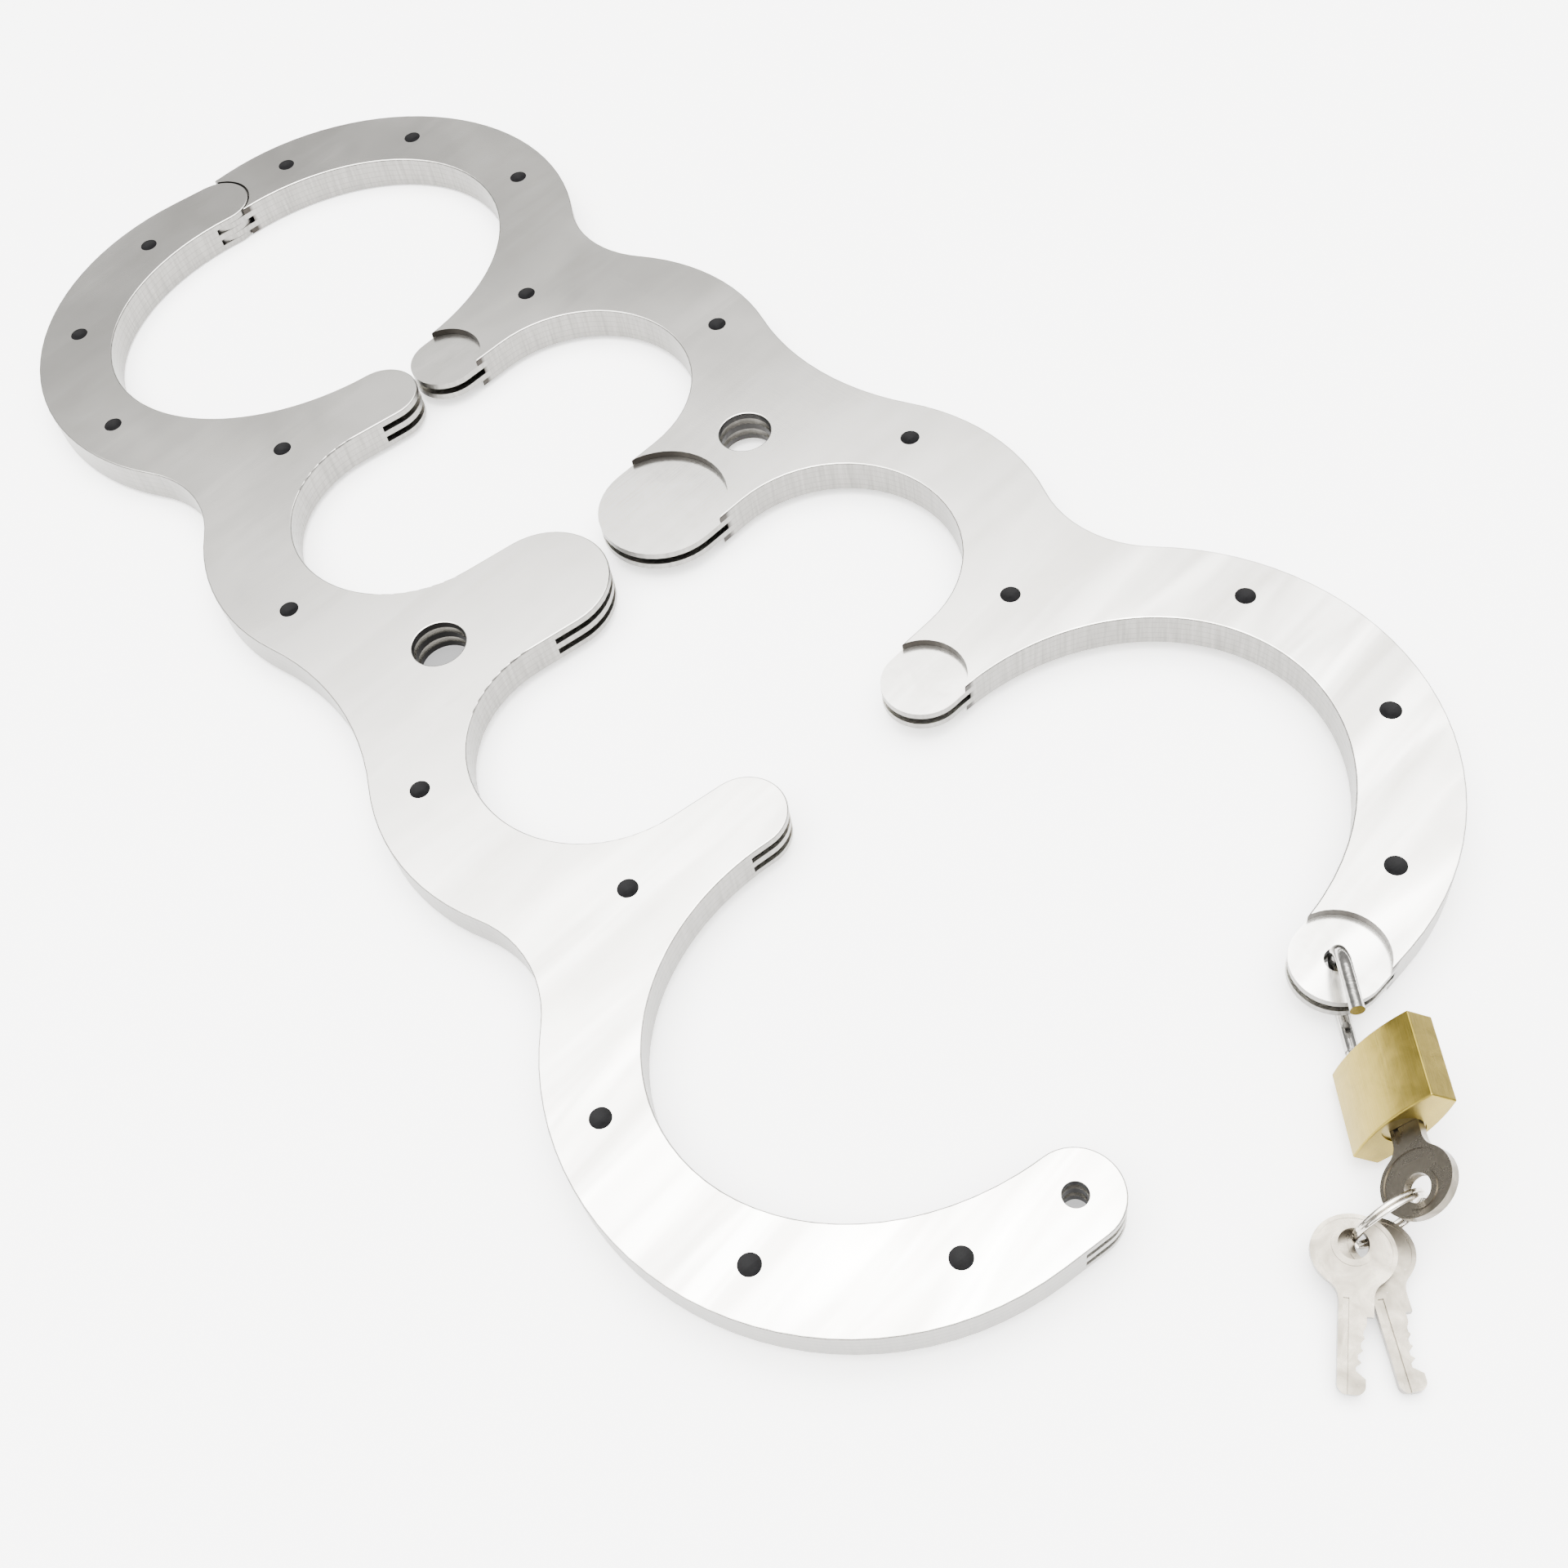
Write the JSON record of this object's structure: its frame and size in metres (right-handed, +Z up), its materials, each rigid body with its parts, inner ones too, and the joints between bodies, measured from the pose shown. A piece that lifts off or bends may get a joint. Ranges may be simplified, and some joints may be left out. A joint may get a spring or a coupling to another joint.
{
  "type": "hinged hand and leg shackle board",
  "caption": "Two hinged arms of stacked steel plates forming four ear-shaped cuff bays, with a small open brass padlock, its key and two spare keys on a split ring.",
  "frame": {"origin": "on the hinge axis, at the underside of the lowest plate", "axes": "+Z up out of the plates, which lie flat; -Y runs from the hinge to the lock end; the left arm lies on the -X side and the right arm stands open on the +X side"},
  "size_m": [0.1766, 0.3915, 0.0207],
  "materials": {
    "stainless_plate": "satin-polished stainless sheet",
    "rivet_black": "smooth blackened, slightly dished",
    "pin_steel": "turned steel",
    "spring_steel": "drawn wire",
    "padlock_brass": "satin, finely brushed",
    "plug_brass": "turned",
    "shackle_chrome": "plated rod",
    "key_nickel": "satin nickel plate",
    "ring_nickel": "bright nickel plate"
  },
  "bodies": {
    "left_arm": {"left_bottom_plate": "stainless_plate", "left_lower_middle_plate": "stainless_plate", "left_core_plate": "stainless_plate", "left_upper_middle_plate": "stainless_plate", "left_top_plate": "stainless_plate", "left_rivets": "rivet_black", "hinge_pin": "pin_steel"},
    "right_arm": {"right_bottom_plate": "stainless_plate", "right_lower_middle_plate": "stainless_plate", "right_core_plate": "stainless_plate", "right_upper_middle_plate": "stainless_plate", "right_top_plate": "stainless_plate", "right_rivets": "rivet_black"},
    "shackle": {"padlock_shackle": "shackle_chrome"},
    "collar": {"padlock_shackle_collar": "pin_steel"},
    "lock_case": {"padlock_case": "padlock_brass", "padlock_driver_pins": "plug_brass", "padlock_pin_springs": "spring_steel", "padlock_pin_caps": "padlock_brass", "padlock_shackle_spring": "spring_steel", "padlock_latch_spring": "spring_steel"},
    "plug": {"padlock_plug": "plug_brass", "padlock_key_pins": "plug_brass", "key_in_lock": "key_nickel"},
    "latch": {"padlock_latch_bolt": "pin_steel"},
    "ring": {"key_ring": "ring_nickel"},
    "upper_key": {"upper_loose_key": "key_nickel"},
    "lower_key": {"lower_loose_key": "key_nickel"}
  },
  "joints": [
    {"name": "arm_hinge", "type": "hinge", "parent": "left_arm", "child": "right_arm", "pos_m": [0, 0, 0], "axis": [0, 0, 1], "range_deg": [-7.5, 42]},
    {"name": "shackle_turn", "type": "hinge", "parent": "right_arm", "child": "shackle", "pos_m": [0.06014, -0.32447, 0.00375], "axis": [0, 0, -1], "range_deg": [-25, 28]},
    {"name": "shackle_lift", "type": "slide", "parent": "shackle", "child": "collar", "axis": [0.5412, 0.8302, -0.134], "range_m": [0, 0.0019], "deforming": ["padlock_shackle_spring"]},
    {"name": "case_swivel", "type": "hinge", "parent": "collar", "child": "lock_case", "pos_m": [0.05116, -0.33864, 0.00055], "axis": [0.5412, 0.8302, -0.134], "range_deg": [-33.4, 35]},
    {"name": "plug_turn", "type": "hinge", "parent": "lock_case", "child": "plug", "pos_m": [0.05009, -0.34625, 0.00693], "axis": [0.5412, 0.8302, -0.134], "range_deg": [-15, 75]},
    {"name": "latch_slide", "type": "slide", "parent": "lock_case", "child": "latch", "axis": [0.4954, -0.186, 0.8485], "range_m": [-0.0012, 0.0003], "deforming": ["padlock_latch_spring"]},
    {"name": "ring_swing", "type": "hinge", "parent": "plug", "child": "ring", "pos_m": [0.04035, -0.36119, 0.00935], "axis": [-0.5282, 0.4595, 0.7141], "range_deg": [-12, 12]},
    {"name": "upper_key_swing", "type": "hinge", "parent": "ring", "child": "upper_key", "pos_m": [0.02897, -0.36, 0.00259], "axis": [-0.1308, -0.1339, 0.9823], "range_deg": [-25, 1]},
    {"name": "lower_key_swing", "type": "hinge", "parent": "ring", "child": "lower_key", "pos_m": [0.03161, -0.3613, -0.00021], "axis": [-0.0275, -0.0525, 0.9982], "range_deg": [-1, 10]}
  ],
  "couplings": [
    {"joint": "latch_slide", "follows": "plug_turn", "m_per_rad": -0.00085}
  ]
}
